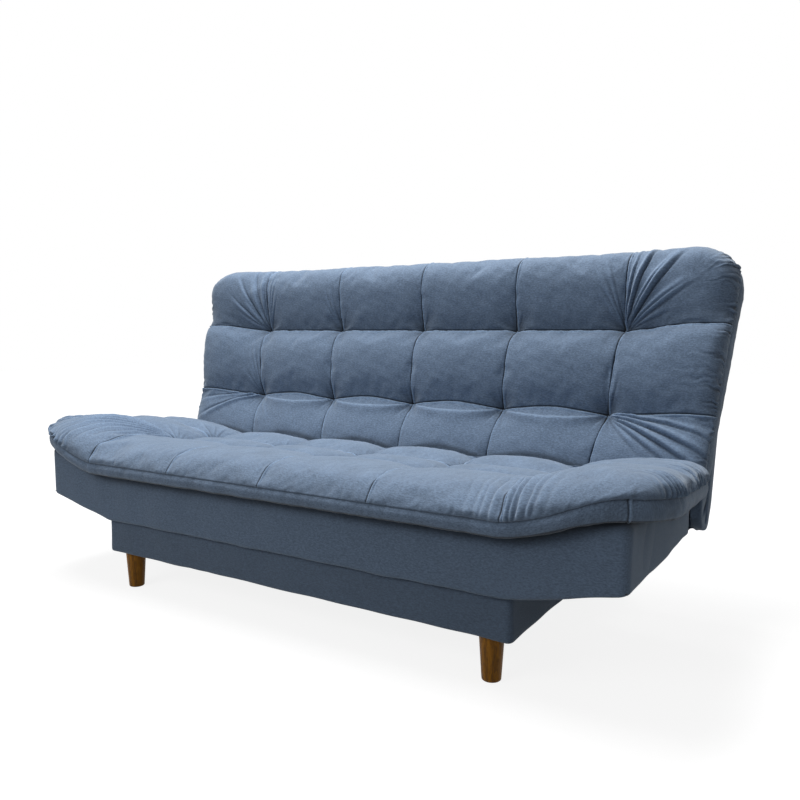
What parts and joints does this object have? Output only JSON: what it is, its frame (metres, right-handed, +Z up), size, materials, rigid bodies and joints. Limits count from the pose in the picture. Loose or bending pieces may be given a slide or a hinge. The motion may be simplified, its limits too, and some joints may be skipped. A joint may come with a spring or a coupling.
{
  "type": "futon sofa bed",
  "caption": "Armless futon sofa bed: a tufted seat pad on a boat-shaped box and low plinth, and a tufted back that reclines flat on ratchet hinges.",
  "frame": {"origin": "on the floor, under the middle of the sofa's bounding box at rest", "axes": "+X to the right as seen from the front, along the seat; -Y is the front, +Y the rear; +Z up"},
  "size_m": [1.8302, 0.976, 0.9497],
  "materials": {
    "upholstery": "matt suede-like weave, blue-grey",
    "softwood": "planed, unfinished",
    "plywood": "sanded, unfinished",
    "stained_wood": "stained honey brown, satin lacquer",
    "webbing": "woven elastic, matt",
    "bottom_cloth": "non-woven, matt black",
    "steel": "zinc plated"
  },
  "bodies": {
    "base": {"foot_front_right": "stained_wood", "foot_front_left": "stained_wood", "foot_rear_right": "stained_wood", "foot_rear_left": "stained_wood", "base_front_board": "softwood", "base_rear_board": "softwood", "base_end_board_right": "softwood", "base_end_board_left": "softwood", "base_centre_board": "softwood", "base_deck": "plywood", "base_front_block_right": "softwood", "base_front_block_left": "softwood", "base_rear_block_right": "softwood", "base_rear_block_left": "softwood", "base_cover": "upholstery", "base_bottom_cloth": "bottom_cloth", "seat_front_rail": "softwood", "seat_rear_rail": "softwood", "seat_end_rail_right": "softwood", "seat_end_rail_left": "softwood", "seat_brace_right": "softwood", "seat_brace_left": "softwood", "seat_end_cloth_right": "bottom_cloth", "seat_end_cloth_left": "bottom_cloth", "seat_cover": "upholstery", "seat_webbing": "webbing", "seat_pad": "upholstery", "hinge_seat_arm_right": "steel", "hinge_seat_arm_left": "steel", "hinge_rivet_right": "steel", "hinge_rivet_left": "steel", "hinge_seat_bolt_1_right": "steel", "hinge_seat_bolt_1_left": "steel", "hinge_seat_bolt_2_right": "steel", "hinge_seat_bolt_2_left": "steel"},
    "backrest": {"back_stile_right": "softwood", "back_stile_left": "softwood", "back_top_rail": "softwood", "back_lower_rail": "softwood", "back_bottom_board": "plywood", "back_inner_stile_right": "softwood", "back_inner_stile_left": "softwood", "back_webbing": "webbing", "back_cover": "upholstery", "back_pad": "upholstery", "hinge_back_arm_right": "steel", "hinge_back_arm_left": "steel", "hinge_back_bolt_1_right": "steel", "hinge_back_bolt_1_left": "steel", "hinge_back_bolt_2_right": "steel", "hinge_back_bolt_2_left": "steel"}
  },
  "joints": [
    {"name": "backrest_recline", "type": "hinge", "parent": "base", "child": "backrest", "pos_m": [0, 0.20803, 0.34], "axis": [-1, 0, 0], "range_deg": [-8, 71.4]}
  ]
}
